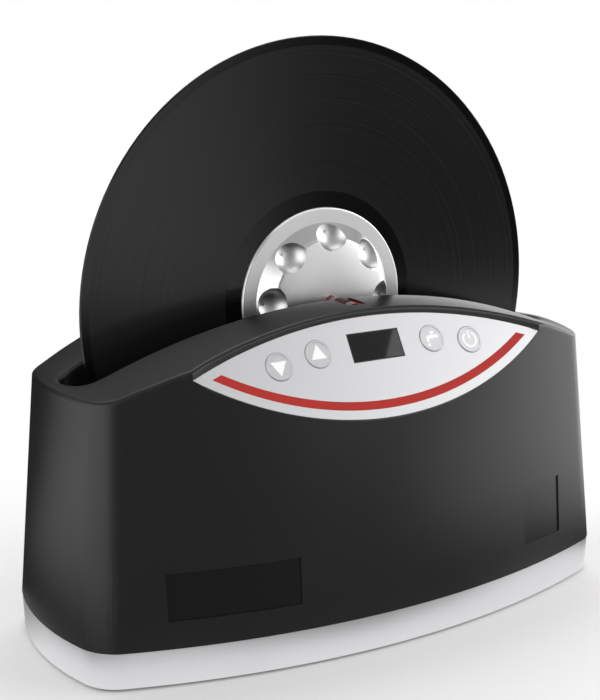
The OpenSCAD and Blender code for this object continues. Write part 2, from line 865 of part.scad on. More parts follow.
module keypad_switches() {
    color([0.25, 0.25, 0.27])
        on_panel()
            for (p = button_at)
                translate([p[0], p[1], board_top]) {
                    translate([-switch_body_w / 2, -switch_body_w / 2, 0])
                        cube([switch_body_w, switch_body_w, switch_body_h]);
                    cylinder(h = switch_body_h + switch_pin_h, r = switch_pin_r);
                }
}

module button(p) {
    color([0.8, 0.8, 0.82])
        on_panel()
            translate([p[0], p[1], 0])
                rotate_extrude()
                    polygon([
                        [0, stem_end], [stem_r, stem_end], [stem_r, -panel_t - button_flange_t],
                        [button_flange_r, -panel_t - button_flange_t], [button_flange_r, -panel_t - 0.05],
                        [button_r, -panel_t - 0.05], [button_r, button_proud - button_edge],
                        [button_r - button_edge, button_proud], [button_r - button_edge - button_rim_w, button_proud],
                        [button_r - button_edge - button_rim_w - button_dish, button_proud - button_dish],
                        [0, button_proud - button_dish]
                    ]);
}

// U-shaped bearing liner between two places along y, with the axle's channel open at the top
module saddle(y0, y1, open_end) {
    color([0.7, 0.16, 0.17])
        difference() {
            box(-saddle_half, saddle_half, y0, y1, saddle_low, saddle_top);
            rod_y(sleeve_r + running_gap, y0 - overlap, open_end, 0, axle_z);
            box(-sleeve_r - running_gap, sleeve_r + running_gap, y0 - overlap, open_end, axle_z, above);
        }
}

module saddle_front() {
    mirror([0, 1, 0])
        saddle(saddle_from, saddle_front_to, saddle_front_to - saddle_end_t);
}

module saddle_rear() {
    saddle(saddle_from, saddle_rear_to, saddle_rear_to + overlap);
}

// The bath's form: a slot-shaped plan cut by a front view with two large lower corners
module tank_form(r, floor_z, corner, top) {
    half = slot_x + r;
    intersection() {
        translate([0, 0, floor_z])
            linear_extrude(top - floor_z)
                stadium(r);
        rotate([90, 0, 0])
            translate([0, 0, -50])
                linear_extrude(100) {
                    translate([-half - overlap, floor_z + corner])
                        square([2 * (half + overlap), above]);
                    translate([-half + corner, floor_z])
                        square([2 * (half - corner), corner + overlap]);
                    for (s = [-1, 1])
                        translate([s * (half - corner), floor_z + corner])
                            circle(corner);
                }
    }
}

module bath_tank() {
    color([0.72, 0.73, 0.74])
        difference() {
            union() {
                tank_form(tank_out_r, tank_floor_z - tank_t, tank_corner_r + tank_t, seal_z);
                translate([0, 0, flange_z])
                    linear_extrude(tank_t) {
                        stadium(flange_r);
                        tank_ears();
                    }
            }
            tank_form(tank_r, tank_floor_z, tank_corner_r, collar_z + overlap);
            at_ears()
                translate([0, 0, flange_z - overlap])
                    cylinder(h = 5, r = screw_hole_r);
            translate([port_x, 0, tank_floor_z - 5])
                cylinder(h = 10, r = tube_bore_r);
        }
}

module tank_seal() {
    color([0.3, 0.3, 0.31])
        translate([0, 0, seal_z])
            linear_extrude(seal_t)
                difference() {
                    union() {
                        stadium(flange_r - 0.5);
                        tank_ears();
                    }
                    stadium(tank_r + 1);
                    for (x = [-ear_x, 0, ear_x], s = [-1, 1])
                        translate([x, s * ear_y])
                            circle(screw_hole_r);
                }
}

module tank_screws() {
    color([0.6, 0.6, 0.62])
        at_ears()
            translate([0, 0, flange_z])
                screw(tank_screw_len);
}

// Sandwich transducer that points along +Y from the bath's wall
module transducer() {
    rotate([-90, 0, 0])
        rotate_extrude()
            polygon([
                [0, 0], [transducer_r, 0], [transducer_r, bell_t], [waist_r, waist_y],
                [waist_r, stack_from], [stack_r, stack_from], [stack_r, stack_to],
                [tail_r, stack_to], [tail_r, tail_to], [0, tail_to]
            ]);
}

module transducers() {
    color([0.65, 0.66, 0.68])
        for (x = [-transducer_x, transducer_x], s = [0, 1])
            mirror([0, s, 0])
                translate([x, tank_out_r, transducer_z])
                    transducer();
}

module at_board_posts() {
    inset = post_r + 1.5;
    for (x = [generator_x[0] + inset, generator_x[1] - inset], y = [generator_y[0] + inset, generator_y[1] - inset])
        translate([x, y, foot_h + overlap])
            children();
}

module generator_board() {
    color([0.1, 0.35, 0.2])
        difference() {
            box(generator_x[0], generator_x[1], generator_y[0], generator_y[1], generator_z, generator_z + board_t);
            at_board_posts()
                cylinder(h = 20, r = screw_hole_r);
        }
}

// Transformer, choke, capacitor cans and heat sink of the ultrasonic generator
module generator_parts() {
    color([0.3, 0.3, 0.34])
        translate([generator_x[0], generator_y[0], generator_z + board_t]) {
            translate(transformer_in)
                cube(transformer);
            translate([choke_x, generator_d / 2, 0])
                linear_extrude(choke_h)
                    difference() {
                        circle(choke_r);
                        circle(choke_bore_r);
                    }
            for (x = can_x)
                translate([x, generator_d - can_in, 0])
                    cylinder(h = can_h, r = can_r);
            translate(sink_in)
                heat_sink();
        }
}

module heat_sink() {
    cube(sink);
    for (i = [0 : fin_n - 1])
        translate([i * (sink[0] - fin_t) / (fin_n - 1), 0, sink[2] - overlap])
            cube([fin_t, sink[1], fin_h]);
}

module power_jack() {
    color([0.1, 0.1, 0.1])
        difference() {
            union() {
                rod_y(jack_r, port_face - jack_len, port_face + overlap, -port_x, port_z);
                rod_y(jack_r + 2, port_face + slip, port_face + 2, -port_x, port_z);
            }
            difference() {
                rod_y(jack_bore_r, port_face - jack_depth, port_face + 5, -port_x, port_z);
                rod_y(jack_pin_r, port_face - jack_depth - overlap, port_face + 0.5, -port_x, port_z);
            }
        }
}

// Tube from the bath's floor down and back to the pump
module drain_tube() {
    color([0.75, 0.76, 0.72])
        translate([port_x, 0, 0])
            difference() {
                drain_path(tube_r, 0);
                drain_path(tube_bore_r, overlap);
            }
}

module drain_path(r, extra) {
    bend_z = tube_z + tube_bend_r;
    translate([0, 0, bend_z])
        cylinder(h = tank_floor_z - tank_t - bend_z + extra, r = r);
    translate([0, tube_bend_r, bend_z])
        rotate([0, 90, 0])
            intersection() {
                rotate_extrude()
                    translate([tube_bend_r, 0])
                        circle(r);
                translate([0, -tube_bend_r - r, -r])
                    cube([tube_bend_r + r, tube_bend_r + r, 2 * r]);
            }
    rod_y(r, tube_bend_r, pump_from + extra, 0, tube_z);
}

module drain_pump() {
    color([0.15, 0.15, 0.17]) {
        rod_y(pump_r, pump_from, pump_to, port_x, pump_z);
        box(port_x - pump_foot, port_x + pump_foot, pump_from + 4, pump_to - 4, plate_top, pump_z);
    }
}

module drain_spigot() {
    color([0.2, 0.2, 0.21])
        difference() {
            union() {
                rod_y(spigot_r, pump_to, spigot_to, port_x, port_z);
                rod_y(port_r - 1, port_face, port_face + spigot_flange_t, port_x, port_z);
            }
            rod_y(spigot_bore_r, pump_to + 2, spigot_to + overlap, port_x, port_z);
        }
}

module drive_bracket() {
    color([0.7, 0.7, 0.72])
        difference() {
            union() {
                box(-bracket_half, bracket_half, bracket_from, bracket_to, bracket_low, bracket_top);
                for (s = [-1, 1])
                    translate([s * lug_x, lug_y, bracket_top - bracket_t])
                        linear_extrude(bracket_t) {
                            circle(lug_r);
                            translate([-s * lug_r / 2, 0])
                                square([lug_r, 2 * lug_r], center = true);
                        }
            }
            box(-bracket_half + bracket_t, bracket_half - bracket_t, bracket_from + bracket_t,
                bracket_to - bracket_t, bracket_low - overlap, bracket_top + overlap);
            rod_y(shaft_r + running_gap, bracket_from - overlap, bracket_to + overlap, 0, roller_z);
            rod_y(motor_boss_r + slip, lug_y, bracket_to + overlap, 0, motor_z);
            rod_y(pinion_window_r, bracket_from - overlap, lug_y, 0, motor_z);
            for (s = [-1, 1]) {
                rod_y(screw_hole_r, lug_y, bracket_to + overlap, s * motor_screw_x, motor_z);
                translate([s * lug_x, lug_y, bracket_top - 5])
                    cylinder(h = 10, r = screw_hole_r);
            }
        }
}

module drive_motor() {
    color([0.5, 0.5, 0.53])
        difference() {
            union() {
                rod_y(motor_r, bracket_to, bracket_to + motor_len, 0, motor_z);
                rod_y(motor_boss_r, bracket_to - bracket_t, bracket_to + overlap, 0, motor_z);
            }
            rod_y(shaft_r + running_gap, bracket_to - 5, bracket_to + motor_bore_len, 0, motor_z);
            for (s = [-1, 1])
                rod_y(screw_r + slip, bracket_to - overlap, bracket_to + 5, s * motor_screw_x, motor_z);
        }
}

module drive_screws() {
    color([0.6, 0.6, 0.62])
        for (s = [-1, 1]) {
            translate([s * lug_x, lug_y, bracket_top - bracket_t])
                screw(drive_screw_len);
            translate([s * motor_screw_x, bracket_to - bracket_t, motor_z])
                rotate([-90, 0, 0])
                    screw(drive_screw_len);
        }
}

// Involute gear in the xy plane: teeth of a module, thinned for backlash, with one tooth's middle on +y
function involute_pt(rb, t) = rb * [cos(t) + t * PI / 180 * sin(t), sin(t) - t * PI / 180 * cos(t)];
function inv_angle(rb, r) =
    let (t = sqrt(r * r / (rb * rb) - 1) * 180 / PI, p = involute_pt(rb, t))
    atan2(p[1], p[0]);
function gear_points(m, n) =
    let (r = m * n / 2, rb = r * cos(pressure_angle), ra = r + 0.9 * m, rd = r - 1.15 * m)
    let (half = 90 / n - tooth_thin / 2 / r * 180 / PI + inv_angle(rb, r), rs = max(rb, rd + 0.1))
    [
        for (i = [0 : n - 1])
            let (mid = 90 + 360 * i / n)
            each concat(
                [rd * [cos(mid - 180 / n), sin(mid - 180 / n)], rd * [cos(mid - half), sin(mid - half)]],
                [
                    for (j = [0 : flank_steps])
                        let (q = rs + (ra - rs) * j / flank_steps, a = mid - half + inv_angle(rb, q))
                        q * [cos(a), sin(a)]
                ],
                [
                    for (j = [flank_steps : -1 : 0])
                        let (q = rs + (ra - rs) * j / flank_steps, a = mid + half - inv_angle(rb, q))
                        q * [cos(a), sin(a)]
                ],
                [rd * [cos(mid + half), sin(mid + half)]]
            )
    ];

module gear_y(m, n, turn, z) {
    translate([0, gear_from, z])
        rotate([-90, 0, 0])
            rotate([0, 0, turn])
                linear_extrude(gear_w)
                    polygon(gear_points(m, n));
}

module motor_pinion() {
    color([0.75, 0.65, 0.35])
        union() {
            gear_y(gear_m, pinion_teeth, 180, motor_z);
            rod_y(shaft_r, gear_from - 0.5, bracket_to + motor_bore_len - 0.5, 0, motor_z);
        }
}

module roller_gear() {
    color([0.85, 0.85, 0.82])
        difference() {
            gear_y(gear_m, gear_teeth, 180 / gear_teeth, roller_z);
            rod_y(shaft_r + slip, gear_from - overlap, gear_from + gear_w + overlap, 0, roller_z);
        }
}

module roller_shaft() {
    color([0.75, 0.76, 0.78])
        union() {
            rod_y(shaft_r, roller_from - 0.3, bracket_to - 0.3, 0, roller_z);
            rod_y(roller_core_r, roller_from, roller_from + roller_w, 0, roller_z);
        }
}

module roller_tyre() {
    color([0.1, 0.1, 0.1])
        difference() {
            rod_y(roller_r, roller_from, roller_from + roller_w, 0, roller_z);
            rod_y(roller_core_r + slip, roller_from - overlap, roller_from + roller_w + overlap, 0, roller_z);
        }
}

module sleeve() {
    color([0.55, 0.55, 0.56])
        difference() {
            rod_y(sleeve_r, sleeve_from, sleeve_to, 0, axle_z);
            rod_y(axle_d / 2 + running_gap, sleeve_from - overlap, sleeve_to + overlap, 0, axle_z);
        }
}

module sleeve_front() {
    mirror([0, 1, 0])
        sleeve();
}

module sleeve_rear() {
    sleeve();
}

module clamp_axle() {
    color([0.8, 0.8, 0.82])
        union() {
            rod_y(axle_d / 2, -axle_reach, axle_reach, 0, axle_z);
            for (s = [-1, 1])
                rod_y(collar_r, s > 0 ? hub_y : -sleeve_from + fit, s > 0 ? sleeve_from - fit : -hub_y, 0, axle_z);
        }
}

// One half of the record clamp, behind the record: flange, coned knob with a rounded shoulder, hub
module clamp_half() {
    low = record_half + pad_t;
    ring_y = low + clamp_flange_t;
    shoulder = 2;
    difference() {
        translate([0, 0, axle_z])
            rotate([-90, 0, 0])
                rotate_extrude($fn = 96)
                    polygon(concat(
                        [[axle_d / 2 + slip, low], [clamp_r - 0.6, low], [clamp_r, low + 0.6], [clamp_r, ring_y - 1]],
                        [[clamp_r - 0.3, ring_y - 0.3], [clamp_r - 1, ring_y], [knob_foot_r, ring_y]],
                        [
                            for (i = [0 : 4])
                                let (a = 25 + 65 * i / 4)
                                [knob_face_r + shoulder * cos(a), knob_y - shoulder + shoulder * sin(a)]
                        ],
                        [[hub_r + 1, knob_y], [hub_r, knob_y + 1], [hub_r, hub_y], [axle_d / 2 + slip, hub_y]]
                    ));
        for (i = [0 : dimple_n - 1])
            let (a = dimple_phase + 360 * i / dimple_n)
            translate([dimple_at_r * cos(a), knob_y + 2.5, axle_z + dimple_at_r * sin(a)])
                sphere(dimple_ball_r);
    }
}

module clamp_front() {
    color([0.8, 0.8, 0.82])
        mirror([0, 1, 0])
            clamp_half();
}

module clamp_rear() {
    color([0.8, 0.8, 0.82])
        clamp_half();
}

module clamp_pads() {
    color([0.1, 0.1, 0.1])
        for (s = [-1, 1])
            difference() {
                rod_y(clamp_r - 1.5, s > 0 ? record_half : -record_half - pad_t,
                    s > 0 ? record_half + pad_t : -record_half, 0, axle_z);
                rod_y(clamp_r - 9, -10, 10, 0, axle_z);
            }
}

// Pressed record: raised label, grooved band, smooth run-out and lead-in, beaded edge, blank all over
module record() {
    r = record_d / 2;
    g = record_half - groove_depth;
    side = [
        [record_hole_d / 2, record_half], [run_out_r - 8, record_half], [run_out_r - 6, g],
        [r - lead_in_w - 1, g], [r - lead_in_w, record_half], [r - 0.7, record_half], [r - 0.2, record_half * 0.6]
    ];
    color([0.06, 0.06, 0.065])
        translate([0, 0, axle_z])
            rotate([-90, 0, 0])
                rotate_extrude($fn = 180)
                    polygon(concat(
                        side,
                        [[r, 0]],
                        [for (i = [len(side) - 1 : -1 : 0]) [side[i][0], -side[i][1]]]
                    ));
}

housing_shell();
base_band();
base_plate();
rubber_feet();
base_screws();
control_panel();
accent_stripe();
display_window();
display_module();
keypad_board();
keypad_switches();
button(button_at[0]);  // button_down
button(button_at[1]);  // button_up
button(button_at[2]);  // button_drain
button(button_at[3]);  // button_power
saddle_front();
saddle_rear();
bath_tank();
tank_seal();
tank_screws();
transducers();
generator_board();
generator_parts();
power_jack();
drain_tube();
drain_pump();
drain_spigot();
drive_bracket();
drive_motor();
drive_screws();
motor_pinion();
roller_gear();
roller_shaft();
roller_tyre();
sleeve_front();
sleeve_rear();
clamp_axle();
clamp_front();
clamp_rear();
clamp_pads();
record();
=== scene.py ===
import math

import bmesh
import bpy
from mathutils import Matrix, Vector


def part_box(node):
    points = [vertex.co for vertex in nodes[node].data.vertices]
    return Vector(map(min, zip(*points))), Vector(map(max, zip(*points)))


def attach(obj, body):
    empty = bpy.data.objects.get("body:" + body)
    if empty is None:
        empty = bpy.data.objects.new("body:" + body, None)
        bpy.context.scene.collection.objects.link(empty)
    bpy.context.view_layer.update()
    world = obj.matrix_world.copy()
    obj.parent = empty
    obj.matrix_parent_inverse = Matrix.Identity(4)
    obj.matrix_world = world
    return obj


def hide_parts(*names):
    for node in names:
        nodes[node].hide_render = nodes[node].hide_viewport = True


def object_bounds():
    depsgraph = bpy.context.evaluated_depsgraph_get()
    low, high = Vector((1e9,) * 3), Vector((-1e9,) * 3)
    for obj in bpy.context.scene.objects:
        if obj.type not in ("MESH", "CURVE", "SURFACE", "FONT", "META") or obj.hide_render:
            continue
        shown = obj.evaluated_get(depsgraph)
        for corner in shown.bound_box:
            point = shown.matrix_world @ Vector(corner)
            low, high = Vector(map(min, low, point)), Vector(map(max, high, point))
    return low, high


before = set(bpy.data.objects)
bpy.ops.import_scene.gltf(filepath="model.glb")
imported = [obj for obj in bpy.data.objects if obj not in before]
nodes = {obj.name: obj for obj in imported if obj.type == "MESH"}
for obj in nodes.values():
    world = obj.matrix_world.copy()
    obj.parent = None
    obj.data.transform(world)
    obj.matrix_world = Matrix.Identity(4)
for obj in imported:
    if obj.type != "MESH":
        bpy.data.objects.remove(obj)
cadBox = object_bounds()
scene = bpy.context.scene
mm = 0.001
print("frame loaded:", len(nodes), "nodes")


class Wire:
    # One output of a node. Written in a sum or a product, it adds the Math nodes that it needs.
    def __init__(self, graph, socket):
        self.graph = graph
        self.socket = socket

    def maths(self, operation, first, second=0.0):
        return self.graph.node("ShaderNodeMath", {"operation": operation}, {0: first, 1: second})

    def __add__(self, other):
        return self.maths("ADD", self, other)

    def __radd__(self, other):
        return self.maths("ADD", other, self)

    def __sub__(self, other):
        return self.maths("SUBTRACT", self, other)

    def __rsub__(self, other):
        return self.maths("SUBTRACT", other, self)

    def __mul__(self, other):
        return self.maths("MULTIPLY", self, other)

    def __rmul__(self, other):
        return self.maths("MULTIPLY", other, self)

    def __truediv__(self, other):
        return self.maths("DIVIDE", self, other)

    def __rtruediv__(self, other):
        return self.maths("DIVIDE", other, self)

    def __abs__(self):
        return self.maths("ABSOLUTE", self)

    def __gt__(self, other):
        return self.maths("GREATER_THAN", self, other)

    def power(self, other):
        return self.maths("POWER", self, other)

    def upTo(self, most):
        return self.maths("MINIMUM", self, most)

    def sine(self):
        return self.maths("SINE", self)

    def bearing(self, other):
        # the angle whose tangent is this over the other
        return self.maths("ARCTAN2", self, other)

    def step(self, low, high):
        # 0 below low, 1 above high, and a smooth ramp between them
        return self.graph.node(
            "ShaderNodeMapRange",
            {"interpolation_type": "SMOOTHSTEP"},
            {"Value": self, "From Min": low, "From Max": high, "To Min": 0.0, "To Max": 1.0})


class Graph:
    # The node tree of a material or of the world
    def __init__(self, tree):
        self.tree = tree

    def node(self, kind, settings=None, inputs=None, output=0):
        made = self.tree.nodes.new(kind)
        for key, value in (settings or {}).items():
            setattr(made, key, value)
        for key, value in (inputs or {}).items():
            self.plug(made.inputs[key], value)
        return Wire(self, made.outputs[output])

    def plug(self, socket, value):
        if isinstance(value, Wire):
            self.tree.links.new(value.socket, socket)
        else:
            socket.default_value = value

    def spot(self, stretch=(1, 1, 1), move=(0, 0, 0)):
        # the place on the object, in metres, moved and stretched
        place = self.node("ShaderNodeTexCoord", output="Object")
        return self.node("ShaderNodeMapping", {}, {"Vector": place, "Location": move, "Scale": stretch})

    def split(self, vector):
        return [self.node("ShaderNodeSeparateXYZ", {}, {0: vector}, output=i) for i in range(3)]

    def noise(self, scale, detail=2.0, stretch=(1, 1, 1)):
        return self.node(
            "ShaderNodeTexNoise", {}, {"Vector": self.spot(stretch), "Scale": scale, "Detail": detail})

    def ringNoise(self, radius, scale, detail):
        # noise that changes with the radius alone
        return self.node(
            "ShaderNodeTexNoise", {"noise_dimensions": "1D"}, {"W": radius, "Scale": scale, "Detail": detail})

    def blend(self, factor, first, second):
        # colour from first at 0 to second at 1
        return self.node("ShaderNodeMix", {"data_type": "RGBA"}, {0: factor, 6: first, 7: second}, output=2)

    def rays(self):
        # 1 where the camera itself looks, and 1 where something polished or clear does
        camera, glossy, clear = [self.node("ShaderNodeLightPath", output=kind) for kind in (
            "Is Camera Ray", "Is Glossy Ray", "Is Transmission Ray")]
        return camera, glossy + clear


plainSockets = {
    "metal": "Metallic",
    "rough": "Roughness",
    "gloss": "Specular IOR Level",
    "coat": "Coat Weight",
    "coatRough": "Coat Roughness",
}


class Finish(Graph):
    # One material. What stays the same all over is given by name when it is made.
    def __init__(self, name, **plain):
        self.material = bpy.data.materials.new(name)
        self.material.use_nodes = True
        super().__init__(self.material.node_tree)
        self.shader = self.tree.nodes["Principled BSDF"]
        for key, value in plain.items():
            self.feed(plainSockets[key], value)

    def feed(self, socket, value):
        self.plug(self.shader.inputs[socket], value)

    def bump(self, height, distance):
        self.feed("Normal", self.node(
            "ShaderNodeBump", {}, {"Strength": 1.0, "Distance": distance, "Height": height}))

    def mottle(self, colour, amount, pattern):
        # the colour, darker and lighter by a share of itself along a pattern
        self.feed("Base Color", self.blend(
            pattern, shade(colour, 1 - amount), shade(colour, 1 + amount)))


def shade(colour, factor=1.0):
    return tuple(min(1.0, part * factor) for part in colour[:3]) + (1.0,)


# What a plain finish has, unless the piece's own look says otherwise
plainLook = {
    "metal": 0.0,
    "gloss": 0.5,
    "mottle": 0.12,
    "mottleScale": 60,
    "stretch": (1, 1, 1),
    "grainScale": 1800,
    "grainHeight": 0.00003,
    "grainSpread": 0.16,
}


def simpleFinish(name, ownLook):
    # a plain workshop finish: mottled colour, uneven gloss and a fine grain
    look = {**plainLook, **ownLook}
    finish = Finish(name, metal=look["metal"], gloss=look["gloss"])
    soft = finish.noise(look["mottleScale"], 3.0)
    grain = finish.noise(look["grainScale"], 2.0, look["stretch"])
    finish.mottle(look["colour"], look["mottle"], soft)
    finish.feed("Roughness", look["rough"] + (grain - 0.5) * look["grainSpread"])
    finish.bump(grain, look["grainHeight"])
    return finish


def copyOf(name):
    # the merged mesh of a CAD node, to be worked on
    bm = bmesh.new()
    bm.from_mesh(nodes[name].data)
    bmesh.ops.remove_doubles(bm, verts=bm.verts[:], dist=0.001 * mm)
    return bm


def makePiece(bm, name, finishes, body, replaced=(), sharp=35, weighted=True):
    # sharp is in degrees: an edge that turns more than this stays crisp
    for face in bm.faces:
        face.smooth = True
    for edge in bm.edges:
        edge.smooth = edge.calc_face_angle(0.0) < math.radians(sharp)
    mesh = bpy.data.meshes.new(name)
    bm.to_mesh(mesh)
    bm.free()
    for finish in finishes:
        mesh.materials.append(finish.material)
    piece = bpy.data.objects.new(name, mesh)
    scene.collection.objects.link(piece)
    if weighted:
        piece.modifiers.new("weightedNormal", "WEIGHTED_NORMAL").keep_sharp = True
    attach(piece, body)
    if replaced:
        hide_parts(*replaced)
    return piece


def dress(name, finish):
    # for a CAD node that keeps its own mesh
    for materialSlot in nodes[name].material_slots:
        materialSlot.material = finish.material


def spanIn(place, name):
    # lowest and highest corner of a CAD node in another frame
    back = place.inverted()
    points = [back @ v.co for v in nodes[name].data.vertices]
    low = Vector(min(p[i] for p in points) for i in range(3))
    high = Vector(max(p[i] for p in points) for i in range(3))
    return low, high


# Housing: matt charcoal moulding with two bare plates sunk in its front
housing = {
    "colour": (0.0105, 0.0105, 0.0108),
    "plateColour": (0.0042, 0.0042, 0.0044),
    "mottle": 0.1,
    "rough": 0.32,
    "plateRough": 0.28,
    "gloss": 0.5,
    "cloudScale": 14,
    "cloudSpread": 0.06,
    "grainScale": 2400,
    "grainSpread": 0.1,
    "grainHeight": 0.00004,
    "sharp": 26,
    "frontFrom": -50 * mm,        # the front wall lies before this
    "frontTurn": -0.6,        # and its faces look forward at least this much
    "plateDepth": 0.8 * mm,
    "plateWall": 0.12 * mm,
    "plates": [
        # from and to along the front, then in height
        ((-135 * mm, -62.5 * mm), (37.5 * mm, 63.5 * mm)),
        ((97 * mm, 132 * mm), (37 * mm, 72 * mm))],
}


def housingFinish(name, colour, rough):
    finish = Finish(name, gloss=housing["gloss"])
    cloud = finish.noise(housing["cloudScale"], 3.0)
    grain = finish.noise(housing["grainScale"], 3.0)
    finish.mottle(colour, housing["mottle"], cloud)
    finish.feed(
        "Roughness", rough + (cloud - 0.5) * housing["cloudSpread"] + (grain - 0.5) * housing["grainSpread"])
    finish.bump(grain, housing["grainHeight"])
    return finish


def frontFaces(bm):
    turned = [f for f in bm.faces if f.normal.y < housing["frontTurn"]]
    return [f for f in turned if f.calc_center_median().y < housing["frontFrom"]]


def sinkPlate(bm, across, up):
    # cut the outline into the front wall, then push what lies inside it back
    cuts = [((x, 0, 0), (1, 0, 0)) for x in across]
    cuts += [((0, 0, z), (0, 0, 1)) for z in up]
    for place, normal in cuts:
        faces = frontFaces(bm)
        edges = list({e for f in faces for e in f.edges})
        verts = list({v for f in faces for v in f.verts})
        bmesh.ops.bisect_plane(
            bm, geom=faces + edges + verts, plane_co=place, plane_no=normal, dist=0.01 * mm)
    inside = []
    for face in frontFaces(bm):
        centre = face.calc_center_median()
        if across[0] < centre.x < across[1] and up[0] < centre.z < up[1]:
            inside.append(face)
    bmesh.ops.inset_region(
        bm, faces=inside, thickness=housing["plateWall"], depth=-housing["plateDepth"],
        use_even_offset=True, use_boundary=True)
    for face in inside:
        face.material_index = 1


bm = copyOf("housing_shell")
for across, up in housing["plates"]:
    sinkPlate(bm, across, up)
makePiece(
    bm, "housing",
    [housingFinish("charcoalPlastic", housing["colour"], housing["rough"]),
     housingFinish("charcoalPlate", housing["plateColour"], housing["plateRough"])],
    "machine", ["housing_shell"], housing["sharp"])
print("housing done")


# Band: satin aluminium, brushed lengthways
band = {
    "colour": (0.72, 0.72, 0.735),
    "mottle": 0.06,
    "rough": 0.34,
    "lineScale": 30,
    "lineStretch": (0.35, 0.35, 130),
    "lineSpread": 0.16,
    "lineHeight": 0.00002,
    "cloudScale": 18,
    "edge": 0.35 * mm,
}


def bandFinish():
    finish = Finish("brushedBand", metal=1.0)
    lines = finish.noise(band["lineScale"], 3.0, band["lineStretch"])
    cloud = finish.noise(band["cloudScale"], 2.0)
    finish.mottle(band["colour"], band["mottle"], lines * 0.7 + cloud * 0.3)
    finish.feed("Roughness", band["rough"] + (lines - 0.5) * band["lineSpread"])
    finish.bump(lines, band["lineHeight"])
    return finish


bm = copyOf("base_band")
corners = [e for e in bm.edges if e.calc_face_angle(0.0) > math.radians(60)]
bmesh.ops.bevel(
    bm, geom=corners, offset=band["edge"], segments=2, profile=0.5, affect="EDGES", material=-1,
    clamp_overlap=True)
makePiece(bm, "metalBand", [bandFinish()], "machine", ["base_band"])
print("band done")


# Control panel. Its own frame lies on its face: x along it, y up the slope, z out of it.
panel = {
    "lean": math.radians(31.26),
    "rise": 19.6 * mm,        # up the slope, from the frame's origin to the top of the panel
    "drop": 39.6 * mm,        # down the slope, to its foot
    "colour": (0.66, 0.66, 0.675),
    "mottle": 0.05,
    "rough": 0.4,
    "metal": 0.55,
    "coat": 0.15,
    "coatRough": 0.3,
    "cloudScale": 9,
    "flakeScale": 2600,
    "flakeSpread": 0.12,
    "flakeHeight": 0.000006,
    "windowColour": (0.008, 0.008, 0.009),
    "windowRough": 0.03,
    # painted shade: the near-black border colour stands for the shade in the bezel's depth
    "bezelPaintedShade": (0.002, 0.002, 0.002),
    "bezelRough": 0.55,
    "bezel": 0.7 * mm,
}
stripeLook = {
    "colour": (0.44, 0.032, 0.026),
    "rough": 0.5,
    "gloss": 0.12,
    "mottle": 0.05,
    "grainScale": 1500,
    "grainHeight": 0.00001,
}
low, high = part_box("control_panel")
panelPlace = Matrix.Translation((
    0.0,
    low.y + math.sin(panel["lean"]) * panel["drop"],
    high.z - math.cos(panel["lean"]) * panel["rise"])) @ Matrix.Rotation(math.pi / 2 - panel["lean"], 4, "X")


def paintFinish(name, look):
    # satin silver paint: fine flakes under a dull clear coat
    finish = Finish(name, metal=look["metal"], coat=look["coat"], coatRough=look["coatRough"])
    flakes = finish.noise(look["flakeScale"], 1.0)
    cloud = finish.noise(look["cloudScale"], 2.0)
    finish.mottle(look["colour"], look["mottle"], flakes * 0.5 + cloud * 0.5)
    finish.feed("Roughness", look["rough"] + (flakes - 0.5) * look["flakeSpread"])
    finish.bump(flakes, look["flakeHeight"])
    return finish


def windowFinish():
    # the display's cover: polished, with a matt black border round its edge that is painted shade from the
    # depth of its bezel
    low, high = spanIn(panelPlace, "display_window")
    middle = (low + high) / 2
    half = (high - low) / 2
    origin = panelPlace.translation
    rise = math.sin(panel["lean"])
    upright = math.cos(panel["lean"])
    finish = Finish("smokedWindow", gloss=0.5)
    x, y, z = finish.split(finish.spot())
    slope = y * rise + z * upright
    slopeMiddle = origin.y * rise + origin.z * upright + middle.y
    inX = (half.x - panel["bezel"]) - abs(x - middle.x)
    inY = (half.y - panel["bezel"]) - abs(slope - slopeMiddle)
    inside = (inX > 0.0) * (inY > 0.0)
    # near-black border round the window: painted shade from the bezel's depth
    finish.feed("Base Color", finish.blend(inside, shade(panel["bezelPaintedShade"]), shade(panel["windowColour"])))
    finish.feed("Roughness", panel["bezelRough"] - inside * (panel["bezelRough"] - panel["windowRough"]))
    return finish


dress("control_panel", paintFinish("silverPaint", panel))
dress("accent_stripe", simpleFinish("redStripe", stripeLook))
dress("display_window", windowFinish())
print("panel done")


# Buttons: satin silver, each with a white sign
buttons = {
    "colour": (0.6, 0.6, 0.615),
    "signColour": (0.97, 0.97, 0.97),
    "dish": 0.25 * mm,        # how far a button's middle lies below its rim
    "signThick": 0.06 * mm,
    "triangle": 5.6 * mm,
    "ringRadius": 4.4 * mm,
    "ringWidth": 1.25 * mm,
    "ringGap": math.radians(62),
    "barLength": 4.8 * mm,
    "tap": [
        # outline in mm, from the spout on
        (-3.9, -1.9), (-2.1, -1.9), (-2.1, -0.5), (-1.5, 0.0), (0.2, -0.4), (1.4, 0.0), (4.4, 0.0),
        (4.4, 1.8), (1.7, 1.8), (1.2, 2.3), (1.2, 2.9), (2.2, 2.9), (2.2, 4.1), (-0.7, 4.1), (-0.7, 2.9),
        (0.2, 2.9), (0.2, 2.3), (-0.4, 1.9), (-2.6, 1.9), (-3.9, 0.8)],
    "drop": (-2.9, -3.8),
    "dropRadius": 1.0 * mm,
}


def thicken(bm):
    # give flat sign faces their thickness
    made = bmesh.ops.extrude_face_region(bm, geom=bm.faces[:])
    raised = [v for v in made["geom"] if isinstance(v, bmesh.types.BMVert)]
    bmesh.ops.translate(bm, verts=raised, vec=(0, 0, buttons["signThick"]))


def triangleSign(bm, turn):
    made = bmesh.ops.create_circle(bm, cap_ends=True, segments=3, radius=buttons["triangle"])
    bmesh.ops.rotate(bm, verts=made["verts"], cent=(0, 0, 0), matrix=Matrix.Rotation(turn, 3, "Z"))
    thicken(bm)


